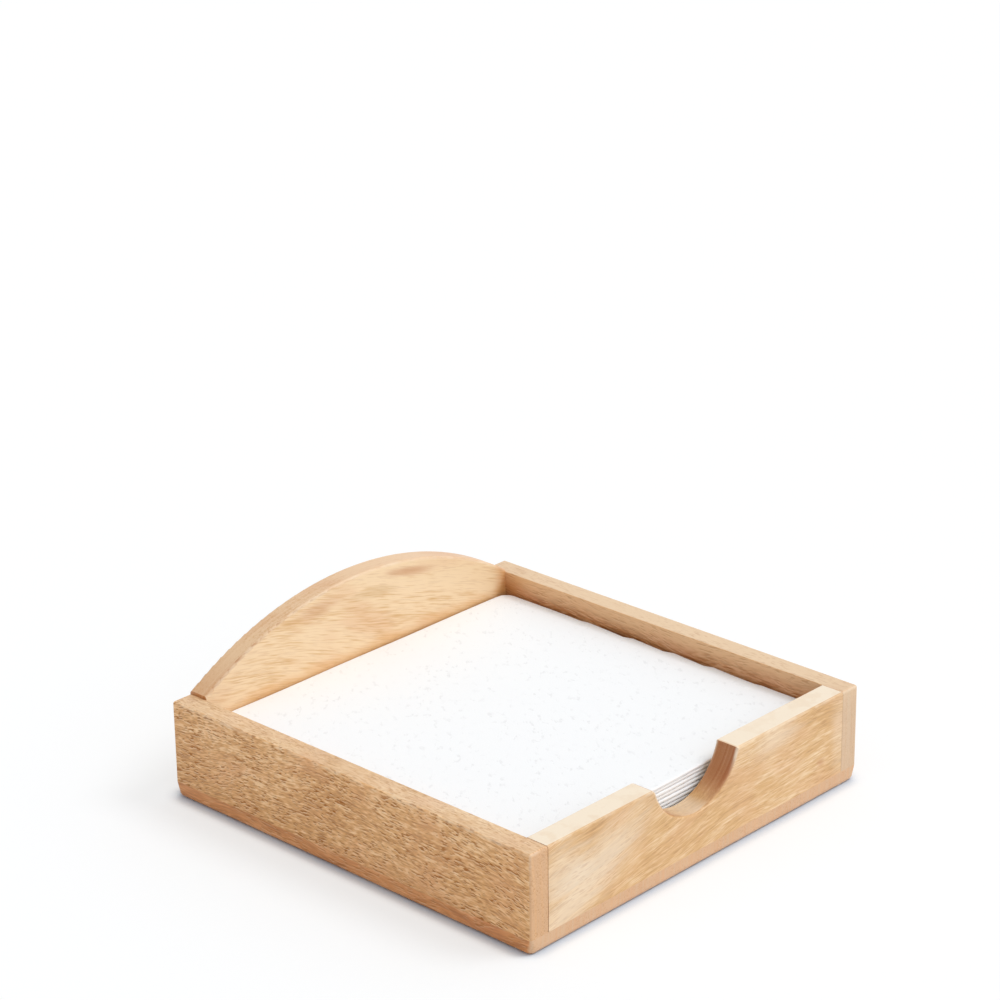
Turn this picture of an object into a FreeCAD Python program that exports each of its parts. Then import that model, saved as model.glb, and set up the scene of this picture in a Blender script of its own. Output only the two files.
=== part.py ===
"""Open tray of planed hardwood boards that holds a stack of square paper napkins.

Two side rails run the full depth. A notched front board and an arched back board stand
between them on hidden dowels, and a base panel closes the tray from below on countersunk
screws. The napkins are sheets folded in half twice, one lying on the next.

Frame: millimetres, +Z up, the notched front towards -Y, and the origin on the ground under
the middle of the tray.
"""

import FreeCAD, Part
import os
import Sketcher

# Driving dimensions in millimetres: name, size, what it measures.
SIZES = (
    ("napkin_side", 165.0, "folded napkin, a quarter of a square sheet"),
    ("napkin_thickness", 1.72, "one folded napkin as it lies in the stack"),
    ("napkin_fold_round", 0.7, "rounding of a folded edge"),
    ("napkin_left_gap", 5.0, "napkins to the left side rail"),
    ("napkin_right_gap", 0.8, "napkins to the right side rail"),
    ("napkin_front_gap", 3.4, "napkins to the front board"),
    ("napkin_back_gap", 1.8, "napkins to the back board"),
    ("tray_height", 41.0, "ground to the top of the side rails"),
    ("base_thickness", 6.4, "base panel"),
    ("rail_thickness", 9.6, "side rails"),
    ("front_thickness", 10.4, "front board"),
    ("back_thickness", 9.4, "back board"),
    ("arch_peak_height", 67.3, "ground to the crown of the back board"),
    ("arch_end_height", 42.3, "ground to the top of the back board beside the rails"),
    ("notch_radius", 24.4, "finger notch in the front board"),
    ("notch_centre_height", 46.9, "ground to the centre of the notch's arc"),
    ("notch_offset", 3.2, "notch centre, left of the middle of the tray"),
    ("notch_shoulder_round", 3.0, "worn left shoulder of the notch"),
    ("edge_round", 1.1, "eased outer edges of the boards"),
    ("inner_edge_round", 0.4, "eased edges that meet another board or the napkins"),
    ("foot_round", 2.3, "sanded bottom edge of the base panel"),
    ("foot_corner_round", 3.8, "upright corners of the base panel, at the bottom"),
    ("dowel_diameter", 5.0, "corner dowels"),
    ("dowel_in_rail", 5.5, "length of a dowel in a side rail"),
    ("dowel_in_board", 13.5, "length of a dowel in the end of a board"),
    ("dowel_chamfer", 0.6, "bevelled ends of a dowel"),
    ("dowel_edge_distance", 8.5, "dowel centre to the top or bottom of a rail"),
    ("dowel_fit", 0.05, "radial clearance of a dowel in its hole"),
    ("dowel_glue_room", 0.5, "hole beyond each end of a dowel"),
    ("screw_length", 16.0, "head face to tip"),
    ("screw_diameter", 2.5, "shank of a screw"),
    ("screw_head_diameter", 4.8, "countersunk head"),
    ("screw_head_rim", 0.3, "straight rim of the head"),
    ("screw_tip_length", 3.0, "pointed end"),
    ("screw_sink", 0.2, "head face below the underside"),
    ("screw_fit", 0.05, "radial clearance of a shank in its hole"),
    ("screw_point_room", 1.0, "hole beyond the tip"),
    ("slot_span", 2.8, "driver cross, end to end"),
    ("slot_width", 0.7, "driver cross, width of a slot"),
    ("slot_depth", 0.8, "driver cross, depth"),
    ("rail_screw_spread", 110.0, "between the two screws of a side rail"),
    ("board_screw_spread", 90.0, "between the two screws of the front or back board"),
)
NAPKIN_COUNT = 15

# Distances that follow from the sizes, as expressions of the sheet. The tray is made to fit
# the napkins: its inside is their size and the gaps round them, and the boards stand outside.
WALL_HEIGHT = "(Sizes.tray_height - Sizes.base_thickness)"
INNER_WIDTH = "(Sizes.napkin_side + Sizes.napkin_left_gap + Sizes.napkin_right_gap)"
INNER_DEPTH = "(Sizes.napkin_side + Sizes.napkin_front_gap + Sizes.napkin_back_gap)"
INNER_HALF_WIDTH = f"({INNER_WIDTH} / 2)"
HALF_WIDTH = f"({INNER_HALF_WIDTH} + Sizes.rail_thickness)"
HALF_DEPTH = f"(({INNER_DEPTH} + Sizes.front_thickness + Sizes.back_thickness) / 2)"
FRONT_INSIDE_Y = f"(-{HALF_DEPTH} + Sizes.front_thickness)"
BACK_INSIDE_Y = f"({HALF_DEPTH} - Sizes.back_thickness)"
FRONT_MIDDLE_Y = f"(-{HALF_DEPTH} + Sizes.front_thickness / 2)"
BACK_MIDDLE_Y = f"({HALF_DEPTH} - Sizes.back_thickness / 2)"
RAIL_MIDDLE_X = f"({HALF_WIDTH} - Sizes.rail_thickness / 2)"
LOW_DOWEL_Z = "(Sizes.base_thickness + Sizes.dowel_edge_distance)"
HIGH_DOWEL_Z = "(Sizes.tray_height - Sizes.dowel_edge_distance)"
DOWEL_HOLE_RADIUS = "(Sizes.dowel_diameter / 2 + Sizes.dowel_fit)"
SCREW_HOLE_RADIUS = "(Sizes.screw_diameter / 2 + Sizes.screw_fit)"
SCREW_HEAD_RADIUS = "(Sizes.screw_head_diameter / 2)"
# A 90 degree countersink is as deep as it narrows.
SCREW_NECK_Z = (
    "(Sizes.screw_sink + Sizes.screw_head_rim"
    " + Sizes.screw_head_diameter / 2 - Sizes.screw_diameter / 2)"
)
SCREW_TIP_Z = "(Sizes.screw_sink + Sizes.screw_length)"
PILOT_DEPTH = f"({SCREW_TIP_Z} + Sizes.screw_point_room - Sizes.base_thickness)"
# The arc over a chord rises by h on a half chord c, so its radius is (c^2 + h^2) / 2h.
ARCH_RISE = "(Sizes.arch_peak_height - Sizes.arch_end_height)"
ARCH_RADIUS = f"(({INNER_HALF_WIDTH}^2 + {ARCH_RISE}^2) / (2 * {ARCH_RISE}))"
ON_AXIS = "0"
CLOSE = 1e-4


def fill_sheet(doc):
    """Writes the driving dimensions into the spreadsheet, one aliased cell a row."""
    sheet = doc.addObject("Spreadsheet::Sheet", "Sizes")
    for row, (name, size, meaning) in enumerate(SIZES, start=1):
        sheet.set(f"A{row}", name)
        sheet.set(f"B{row}", str(size))
        sheet.setAlias(f"B{row}", name)
        sheet.set(f"C{row}", meaning)
    doc.recompute()
    return sheet


def worth(doc, expression):
    """The number that an expression of the sheet's sizes comes to."""
    return float(doc.getObject("Sizes").evalExpression(expression))


def new_body(doc, label, x=ON_AXIS, y=ON_AXIS, z=ON_AXIS):
    """An empty body named label, placed at expressions of the sheet."""
    body = doc.addObject("PartDesign::Body", label)
    body.Label = label
    for axis, place in zip("xyz", (x, y, z)):
        body.setExpression(f"Placement.Base.{axis}", place)
    return body


def origin_part(body, role):
    """One of the planes and axes that a body's own origin holds."""
    return next(part for part in body.Origin.OriginFeatures if part.Role == role)


def new_sketch(body, name, role, offset=ON_AXIS):
    """A sketch on one of the body's own origin planes, moved along the plane's normal."""
    sketch = body.newObject("Sketcher::SketchObject", name)
    sketch.AttachmentSupport = (origin_part(body, role), [""])
    sketch.MapMode = "FlatFace"
    sketch.setExpression("AttachmentOffset.Base.z", offset)
    return sketch


def fix(sketch, kind, where, expression):
    """Adds a dimension that follows an expression."""
    size = worth(sketch.Document, expression)
    index = sketch.addConstraint(Sketcher.Constraint(kind, *where, size))
    sketch.setExpression(f"Constraints[{index}]", expression)


def fix_point(sketch, geometry, point, place):
    """Dimensions a point from the sketch's origin, across and up."""
    fix(sketch, "DistanceX", (-1, 1, geometry, point), place[0])
    fix(sketch, "DistanceY", (-1, 1, geometry, point), place[1])


def draw_outline(sketch, corners):
    """A closed outline of straight lines through corners given as expressions."""
    doc = sketch.Document
    points = [FreeCAD.Vector(worth(doc, x), worth(doc, y), 0) for x, y in corners]
    ends = points[1:] + points[:1]
    lines = [sketch.addGeometry(Part.LineSegment(a, b), False) for a, b in zip(points, ends)]
    for line, following in zip(lines, lines[1:] + lines[:1]):
        sketch.addConstraint(Sketcher.Constraint("Coincident", line, 2, following, 1))
    for line, corner in zip(lines, corners):
        fix_point(sketch, line, 1, corner)
    return lines


def draw_circle(sketch, place, radius):
    doc = sketch.Document
    centre = FreeCAD.Vector(worth(doc, place[0]), worth(doc, place[1]), 0)
    circle = Part.Circle(centre, FreeCAD.Vector(0, 0, 1), worth(doc, radius))
    index = sketch.addGeometry(circle, False)
    fix_point(sketch, index, 3, place)
    fix(sketch, "Radius", (index,), radius)


def pad(body, name, sketch, length):
    feature = body.newObject("PartDesign::Pad", name)
    feature.Profile = sketch
    feature.setExpression("Length", length)
    body.Document.recompute()
    return feature


def pocket(body, name, sketch, depth, along_normal=False):
    """Cuts a sketch into the body, against its plane's normal unless told otherwise."""
    before = body.Shape.Volume
    feature = body.newObject("PartDesign::Pocket", name)
    feature.Profile = sketch
    feature.Reversed = along_normal
    feature.setExpression("Length", depth)
    body.Document.recompute()
    if body.Shape.Volume > before - CLOSE:
        raise RuntimeError(f"{body.Label}: {name} cut nothing")
    return feature


def round_edges(body, name, radius, chosen):
    """Fillets the edges of the body whose middle and direction the test picks."""
    base = body.Tip
    names = []
    for number, edge in enumerate(base.Shape.Edges, start=1):
        middle = edge.valueAt((edge.FirstParameter + edge.LastParameter) / 2)
        if chosen(middle, edge):
            names.append(f"Edge{number}")
    feature = body.newObject("PartDesign::Fillet", name)
    feature.Base = (base, names)
    feature.setExpression("Radius", radius)
    body.Document.recompute()
    return feature


def turned(body, name, role, offset, profile, axis):
    """A solid of revolution: a closed profile in a plane, turned about an axis in it."""
    sketch = new_sketch(body, f"{name}_profile", role, offset)
    draw_outline(sketch, profile)
    ends = [FreeCAD.Vector(*(worth(body.Document, e) for e in end), 0) for end in axis]
    line = sketch.addGeometry(Part.LineSegment(*ends), True)
    for point, end in enumerate(axis, start=1):
        fix_point(sketch, line, point, end)
    feature = body.newObject("PartDesign::Revolution", name)
    feature.Profile = sketch
    feature.ReferenceAxis = (sketch, ["Axis0"])
    feature.Angle = 360
    body.Document.recompute()
    return feature


def repeat(body, name, originals, steps):
    """Repeats features by mirrors and rows, each step given as a transformation object."""
    feature = body.newObject("PartDesign::MultiTransform", name)
    feature.Originals = originals
    feature.Transformations = steps
    body.Tip = feature
    body.Document.recompute()
    return feature


def mirror(body, name, role):
    step = body.Document.addObject("PartDesign::Mirrored", name)
    step.MirrorPlane = (origin_part(body, role), [""])
    return step


def row_of_two(body, name, role, spread):
    step = body.Document.addObject("PartDesign::LinearPattern", name)
    step.Direction = (origin_part(body, role), [""])
    step.Occurrences = 2
    step.setExpression("Length", spread)
    return step


def near(a, b):
    return abs(a - b) < CLOSE


def side_rail(doc, label, x, inner_x, drill_inwards):
    """A full-depth rail: its outer and inner top edges and its ends are eased."""
    half_depth = worth(doc, HALF_DEPTH)
    height = worth(doc, WALL_HEIGHT)
    inner_at = worth(doc, inner_x)
    outer_at = worth(doc, "Sizes.rail_thickness") - inner_at
    body = new_body(doc, label, x=x, z="Sizes.base_thickness")
    side = new_sketch(body, f"{label}_side", "YZ_Plane")
    draw_outline(
        side,
        (
            (f"-{HALF_DEPTH}", ON_AXIS),
            (HALF_DEPTH, ON_AXIS),
            (HALF_DEPTH, WALL_HEIGHT),
            (f"-{HALF_DEPTH}", WALL_HEIGHT),
        ),
    )
    pad(body, f"{label}_board", side, "Sizes.rail_thickness")

    def outer_arris(middle, edge):
        at_end = near(abs(middle.y), half_depth)
        on_top = near(middle.z, height)
        on_face = near(middle.x, outer_at)
        return at_end and on_face or on_top and on_face or at_end and on_top

    def inner_arris(middle, edge):
        return near(middle.z, height) and near(middle.x, inner_at)

    round_edges(body, f"{label}_eased", "Sizes.edge_round", outer_arris)
    round_edges(body, f"{label}_inner_eased", "Sizes.inner_edge_round", inner_arris)
    holes = new_sketch(body, f"{label}_dowel_holes", "YZ_Plane", inner_x)
    for y in (FRONT_MIDDLE_Y, BACK_MIDDLE_Y):
        for z in (LOW_DOWEL_Z, HIGH_DOWEL_Z):
            draw_circle(holes, (y, f"{z} - Sizes.base_thickness"), DOWEL_HOLE_RADIUS)
    depth = "Sizes.dowel_in_rail + Sizes.dowel_glue_room"
    pocket(body, f"{label}_dowel_drilling", holes, depth, drill_inwards)
    pilots = new_sketch(body, f"{label}_pilots", "XY_Plane")
    for sign in ("-", "+"):
        place = ("Sizes.rail_thickness / 2", f"{sign}Sizes.rail_screw_spread / 2")
        draw_circle(pilots, place, SCREW_HOLE_RADIUS)
    pocket(body, f"{label}_pilot_drilling", pilots, PILOT_DEPTH, True)
    return body


def drill_board(body, thickness):
    """Drills a board's ends for the dowels and its underside for the screws."""
    middle_y = f"-{thickness} / 2"
    label = body.Label
    depth = "Sizes.dowel_in_board + Sizes.dowel_glue_room"
    for end, sign, inwards in (("left", "-", True), ("right", "+", False)):
        holes = new_sketch(body, f"{label}_{end}_holes", "YZ_Plane", f"{sign}{INNER_HALF_WIDTH}")
        for z in (LOW_DOWEL_Z, HIGH_DOWEL_Z):
            draw_circle(holes, (middle_y, f"{z} - Sizes.base_thickness"), DOWEL_HOLE_RADIUS)
        pocket(body, f"{label}_{end}_drilling", holes, depth, inwards)
    pilots = new_sketch(body, f"{label}_pilots", "XY_Plane")
    for sign in ("-", "+"):
        place = (f"{sign}Sizes.board_screw_spread / 2", middle_y)
        draw_circle(pilots, place, SCREW_HOLE_RADIUS)
    pocket(body, f"{label}_pilot_drilling", pilots, PILOT_DEPTH, True)


def front_board(doc):
    """The board with the finger notch, its rear face towards the napkins."""
    height = worth(doc, WALL_HEIGHT)
    thickness = worth(doc, "Sizes.front_thickness")
    inner_half = worth(doc, INNER_HALF_WIDTH)
    label = "front_board"
    body = new_body(doc, label, y=FRONT_INSIDE_Y, z="Sizes.base_thickness")
    face = new_sketch(body, f"{label}_face", "XZ_Plane")
    draw_outline(
        face,
        (
            (f"-{INNER_HALF_WIDTH}", ON_AXIS),
            (INNER_HALF_WIDTH, ON_AXIS),
            (INNER_HALF_WIDTH, WALL_HEIGHT),
            (f"-{INNER_HALF_WIDTH}", WALL_HEIGHT),
        ),
    )
    pad(body, f"{label}_board", face, "Sizes.front_thickness")
    notch = new_sketch(body, f"{label}_notch", "XZ_Plane")
    centre = ("-Sizes.notch_offset", "Sizes.notch_centre_height - Sizes.base_thickness")
    draw_circle(notch, centre, "Sizes.notch_radius")
    pocket(body, f"{label}_notch_cut", notch, "Sizes.front_thickness", True)
    notch_x = worth(doc, centre[0])

    def open_top(middle):
        """Along the top or the notch, and not where the board meets a rail or the base."""
        return CLOSE < middle.z and abs(middle.x) < inner_half - CLOSE

    def corner(middle):
        return open_top(middle) and near(middle.y, -thickness / 2) and near(middle.z, height)

    def left_corner(middle, edge):
        return corner(middle) and middle.x < notch_x

    def front_arris(middle, edge):
        return open_top(middle) and near(middle.y, -thickness)

    def other_arris(middle, edge):
        return open_top(middle) and near(middle.y, 0) or corner(middle) and middle.x > notch_x

    round_edges(body, f"{label}_shoulder", "Sizes.notch_shoulder_round", left_corner)
    round_edges(body, f"{label}_front_eased", "Sizes.edge_round", front_arris)
    round_edges(body, f"{label}_other_eased", "Sizes.inner_edge_round", other_arris)
    drill_board(body, "Sizes.front_thickness")
    return body


def back_board(doc):
    """The board whose top is an arch, its rear face in line with the ends of the rails."""
    thickness = worth(doc, "Sizes.back_thickness")
    peak = worth(doc, "Sizes.arch_peak_height - Sizes.base_thickness")
    label = "back_board"
    end_z = "Sizes.arch_end_height - Sizes.base_thickness"
    body = new_body(doc, label, y=HALF_DEPTH, z="Sizes.base_thickness")
    face = new_sketch(body, f"{label}_face", "XZ_Plane")
    corners = (
        (f"-{INNER_HALF_WIDTH}", end_z),
        (f"-{INNER_HALF_WIDTH}", ON_AXIS),
        (INNER_HALF_WIDTH, ON_AXIS),
        (INNER_HALF_WIDTH, end_z),
    )
    points = [FreeCAD.Vector(worth(doc, x), worth(doc, z), 0) for x, z in corners]
    lines = [face.addGeometry(Part.LineSegment(a, b), False) for a, b in zip(points, points[1:])]
    for line, following in zip(lines, lines[1:]):
        face.addConstraint(Sketcher.Constraint("Coincident", line, 2, following, 1))
    crown = FreeCAD.Vector(0, peak, 0)
    arch = face.addGeometry(Part.Arc(points[-1], crown, points[0]), False)
    face.addConstraint(Sketcher.Constraint("Coincident", arch, 1, lines[-1], 2))
    face.addConstraint(Sketcher.Constraint("Coincident", arch, 2, lines[0], 1))
    for line, corner in zip(lines, corners):
        fix_point(face, line, 1, corner)
    fix_point(face, lines[-1], 2, corners[-1])
    fix(face, "Radius", (arch,), ARCH_RADIUS)
    pad(body, f"{label}_board", face, "Sizes.back_thickness")

    def arch_arris(middle, edge):
        on_face = near(middle.y, 0) or near(middle.y, -thickness)
        return edge.Curve.TypeId == "Part::GeomCircle" and on_face

    round_edges(body, f"{label}_eased", "Sizes.edge_round", arch_arris)
    drill_board(body, "Sizes.back_thickness")
    return body


def screw_seats(doc):
    """Where the screws stand: four under the rails, two under each board."""
    rail_y = "Sizes.rail_screw_spread / 2"
    board_x = "Sizes.board_screw_spread / 2"
    rails = [(f"{a}{RAIL_MIDDLE_X}", f"{b}{rail_y}") for a in "-+" for b in "-+"]
    boards = [(f"{a}{board_x}", y) for a in "-+" for y in (FRONT_MIDDLE_Y, BACK_MIDDLE_Y)]
    return rails + boards


def base_panel(doc):
    """The panel under all four boards, sanded round below, with countersunk screw holes."""
    label = "base_panel"
    blank = doc.addObject("Part::Box", f"{label}_blank")
    blank.setExpression("Length", f"2 * {HALF_WIDTH}")
    blank.setExpression("Width", f"2 * {HALF_DEPTH}")
    blank.setExpression("Height", "Sizes.base_thickness")
    blank.setExpression("Placement.Base.x", f"-{HALF_WIDTH}")
    blank.setExpression("Placement.Base.y", f"-{HALF_DEPTH}")
    doc.recompute()
    foot = worth(doc, "min(Sizes.foot_round; 0.8 * Sizes.base_thickness)")
    corner = worth(doc, "max(Sizes.foot_corner_round; Sizes.foot_round)")
    arris = worth(doc, "Sizes.edge_round")
    # An upright corner is sharp where it meets a rail and widens towards the round foot.
    rounds = []
    for number, edge in enumerate(blank.Shape.Edges, start=1):
        first, last = (edge.valueAt(end).z for end in (edge.FirstParameter, edge.LastParameter))
        if near(first, 0) and near(last, 0):
            rounds.append((number, foot, foot))
        elif near(first, 0):
            rounds.append((number, corner, arris))
        elif near(last, 0):
            rounds.append((number, arris, corner))
    sanded = doc.addObject("Part::Fillet", f"{label}_sanded")
    sanded.Base = blank
    sanded.Edges = rounds
    doc.recompute()
    body = new_body(doc, label)
    body.BaseFeature = sanded
    doc.recompute()
    before = body.Shape.Volume
    sketch = new_sketch(body, f"{label}_screw_centres", "XY_Plane")
    for place in screw_seats(doc):
        draw_circle(sketch, place, SCREW_HOLE_RADIUS)
    doc.recompute()
    holes = body.newObject("PartDesign::Hole", f"{label}_screw_holes")
    holes.Profile = sketch
    doc.recompute()
    holes.ThreadType = "None"
    holes.DepthType = "ThroughAll"
    holes.Reversed = True
    holes.setExpression("Diameter", f"2 * {SCREW_HOLE_RADIUS}")
    holes.HoleCutType = "Countersink"
    # The cone starts at the underside, so it is wider there by twice the sink and the rim.
    mouth = "Sizes.screw_head_diameter + 2 * (Sizes.screw_sink + Sizes.screw_head_rim + Sizes.screw_fit)"
    holes.setExpression("HoleCutDiameter", mouth)
    holes.HoleCutCountersinkAngle = 90
    doc.recompute()
    if body.Shape.Volume > before - CLOSE:
        raise RuntimeError("the screw holes cut nothing")
    return body


def corner_dowels(doc):
    """Two bevelled dowels at each corner, lying across from rail to board."""
    body = new_body(doc, "corner_dowels")
    body.AllowCompound = True
    radius = "Sizes.dowel_diameter / 2"
    bevel = "Sizes.dowel_chamfer"
    rail_end = f"-({INNER_HALF_WIDTH} + Sizes.dowel_in_rail)"
    board_end = f"-({INNER_HALF_WIDTH} - Sizes.dowel_in_board)"
    profile = (
        (rail_end, LOW_DOWEL_Z),
        (rail_end, f"{LOW_DOWEL_Z} + {radius} - {bevel}"),
        (f"{rail_end} + {bevel}", f"{LOW_DOWEL_Z} + {radius}"),
        (f"{board_end} - {bevel}", f"{LOW_DOWEL_Z} + {radius}"),
        (board_end, f"{LOW_DOWEL_Z} + {radius} - {bevel}"),
        (board_end, LOW_DOWEL_Z),
    )
    axis = ((rail_end, LOW_DOWEL_Z), (board_end, LOW_DOWEL_Z))
    dowel = turned(body, "dowel", "XZ_Plane", f"-({FRONT_MIDDLE_Y})", profile, axis)
    steps = [
        row_of_two(body, "upper_dowels", "Z_Axis", f"{HIGH_DOWEL_Z} - {LOW_DOWEL_Z}"),
        row_of_two(body, "rear_dowels", "Y_Axis", f"{BACK_MIDDLE_Y} - {FRONT_MIDDLE_Y}"),
        mirror(body, "right_dowels", "YZ_Plane"),
    ]
    repeat(body, "all_dowels", [dowel], steps)
    return body


def screw_profile(x):
    """Half of a countersunk wood screw standing on its head at x, head face down."""
    head = SCREW_HEAD_RADIUS
    shank = "Sizes.screw_diameter / 2"
    rim_z = "Sizes.screw_sink + Sizes.screw_head_rim"
    return (
        (x, "Sizes.screw_sink"),
        (f"{x} + {head}", "Sizes.screw_sink"),
        (f"{x} + {head}", rim_z),
        (f"{x} + {shank}", SCREW_NECK_Z),
        (f"{x} + {shank}", f"{SCREW_TIP_Z} - Sizes.screw_tip_length"),
        (x, SCREW_TIP_Z),
    )


def base_screws(doc):
    """Eight countersunk wood screws driven up through the base panel."""
    body = new_body(doc, "base_screws")
    body.AllowCompound = True
    for name, x, y in (
        ("rail", RAIL_MIDDLE_X, "Sizes.rail_screw_spread / 2"),
        ("front", "Sizes.board_screw_spread / 2", FRONT_MIDDLE_Y),
        ("back", "Sizes.board_screw_spread / 2", BACK_MIDDLE_Y),
    ):
        axis = ((x, "Sizes.screw_sink"), (x, SCREW_TIP_Z))
        screw = turned(body, f"{name}_screw", "XZ_Plane", f"-({y})", screw_profile(x), axis)
        cross = new_sketch(body, f"{name}_cross", "XY_Plane", "Sizes.screw_sink")
        draw_cross(cross, x, y)
        slots = pocket(body, f"{name}_driver_slots", cross, "Sizes.slot_depth", True)
        steps = [mirror(body, f"{name}_left", "YZ_Plane")]
        if name == "rail":
            steps.append(mirror(body, f"{name}_rear", "XZ_Plane"))
        repeat(body, f"{name}_screws", [screw, slots], steps)
    return body


def draw_cross(sketch, x, y):
    """The outline of a driver cross about a point, its arms along the sketch's axes."""
    near_edge, far_edge = "Sizes.slot_width / 2", "Sizes.slot_span / 2"
    arms = (
        (near_edge, near_edge),
        (near_edge, far_edge),
        (f"-{near_edge}", far_edge),
        (f"-{near_edge}", near_edge),
        (f"-{far_edge}", near_edge),
        (f"-{far_edge}", f"-{near_edge}"),
        (f"-{near_edge}", f"-{near_edge}"),
        (f"-{near_edge}", f"-{far_edge}"),
        (near_edge, f"-{far_edge}"),
        (near_edge, f"-{near_edge}"),
        (far_edge, f"-{near_edge}"),
        (far_edge, near_edge),
    )
    draw_outline(sketch, [(f"{x} + {across}", f"{y} + {up}") for across, up in arms])


def napkin(doc, number):
    """One folded napkin, counted from the bottom, its folds to the front and the right."""
    label = f"napkin_{number:02d}"
    half = "Sizes.napkin_side / 2"
    body = new_body(
        doc,
        label,
        x=f"{INNER_HALF_WIDTH} - Sizes.napkin_right_gap - {half}",
        y=f"{BACK_INSIDE_Y} - Sizes.napkin_back_gap - {half}",
        z=f"Sizes.base_thickness + {number - 1} * Sizes.napkin_thickness",
    )
    square = new_sketch(body, f"{label}_square", "XY_Plane")
    signs = (("-", "-"), ("+", "-"), ("+", "+"), ("-", "+"))
    draw_outline(square, [(f"{a}{half}", f"{b}{half}") for a, b in signs])
    pad(body, f"{label}_layers", square, "Sizes.napkin_thickness")
    reach = worth(doc, half)
    middle_z = worth(doc, "Sizes.napkin_thickness / 2")

    def folded(middle, edge):
        level = not near(middle.z, middle_z)
        return level and (near(middle.x, reach) or near(middle.y, -reach))

    fold = "min(Sizes.napkin_fold_round; 0.45 * Sizes.napkin_thickness)"
    round_edges(body, f"{label}_folds", fold, folded)
    return body


def check(doc, pieces):
    """Stops if any object failed or any piece isn't a whole, closed shape."""
    for item in doc.Objects:
        if {"Invalid", "Error"} & set(item.State):
            raise RuntimeError(f"{item.Label}: {item.State}")
    for piece in pieces:
        shape = piece.Shape
        if shape.isNull() or not shape.isValid() or not shape.Solids:
            raise RuntimeError(f"{piece.Label}: not a valid solid")


def main():
    doc = FreeCAD.newDocument("napkin_tray")
    fill_sheet(doc)
    pieces = [
        base_panel(doc),
        side_rail(doc, "left_side_rail", f"-{HALF_WIDTH}", "Sizes.rail_thickness", False),
        side_rail(doc, "right_side_rail", INNER_HALF_WIDTH, ON_AXIS, True),
        front_board(doc),
        back_board(doc),
        corner_dowels(doc),
        base_screws(doc),
    ]
    pieces += [napkin(doc, number) for number in range(1, NAPKIN_COUNT + 1)]
    doc.recompute()
    check(doc, pieces)
    os.makedirs("parts", exist_ok=True)
    for piece in pieces:
        shape = piece.Shape
        shape.exportStep(f"parts/{piece.Label}.step")
        box = shape.BoundBox
        print(f"{piece.Label}: {len(shape.Solids)} solids, {shape.Volume:.0f} mm3, "
              f"z {box.ZMin:.2f} to {box.ZMax:.2f}")


main()
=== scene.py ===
"""The looks of an open wooden napkin tray and of the folded napkins in it, in metres.

The five wooden parts, the dowels and the screws keep their solids and get their finishes here. Each
napkin is a square sheet of tissue folded in four, worked out as one surface. A pale floor, one soft
lamp, a white sky and the camera complete the scene.
"""

import math

import bpy
import numpy as np
from bpy.props import FloatProperty, FloatVectorProperty, IntProperty, PointerProperty
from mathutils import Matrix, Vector


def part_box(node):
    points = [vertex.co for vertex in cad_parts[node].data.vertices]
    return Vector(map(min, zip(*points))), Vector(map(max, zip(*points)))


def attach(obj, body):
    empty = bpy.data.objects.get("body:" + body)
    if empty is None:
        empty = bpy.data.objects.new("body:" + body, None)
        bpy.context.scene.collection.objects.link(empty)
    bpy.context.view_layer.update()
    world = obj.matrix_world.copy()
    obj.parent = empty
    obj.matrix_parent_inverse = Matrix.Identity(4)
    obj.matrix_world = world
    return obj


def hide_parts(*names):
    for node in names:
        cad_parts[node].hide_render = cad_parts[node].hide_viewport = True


bl_info = {
    "name": "Napkin Tray",
    "version": (1, 0, 0),
    "blender": (4, 5, 0),
    "location": "View3D > Sidebar > Napkin Tray",
    "description": "Finishes a wooden napkin tray and folds the paper napkins that lie in it",
    "category": "Object",
}

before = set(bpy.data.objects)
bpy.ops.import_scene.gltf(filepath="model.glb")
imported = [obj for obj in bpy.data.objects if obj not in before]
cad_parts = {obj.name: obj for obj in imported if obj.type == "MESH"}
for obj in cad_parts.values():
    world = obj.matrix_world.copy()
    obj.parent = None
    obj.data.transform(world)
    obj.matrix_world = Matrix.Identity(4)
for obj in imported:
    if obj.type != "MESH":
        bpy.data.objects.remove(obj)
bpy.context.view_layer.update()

MM = 0.001
NAPKINS = sorted(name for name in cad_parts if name.startswith("napkin_"))
WHITE = (1.0, 1.0, 1.0, 1.0)


# ---------------------------------------------------------------------------------------------
# Settings
# ---------------------------------------------------------------------------------------------


def colour(name, description, default):
    return FloatVectorProperty(
        name=name, description=description, default=default, min=0.0, max=1.0, subtype="COLOR"
    )


def length(name, description, default):
    return FloatProperty(
        name=name, description=description, default=default, min=0.0, precision=5, unit="LENGTH"
    )


def share(name, description, default):
    return FloatProperty(
        name=name, description=description, default=default, min=0.0, max=2.0, subtype="FACTOR"
    )


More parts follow.
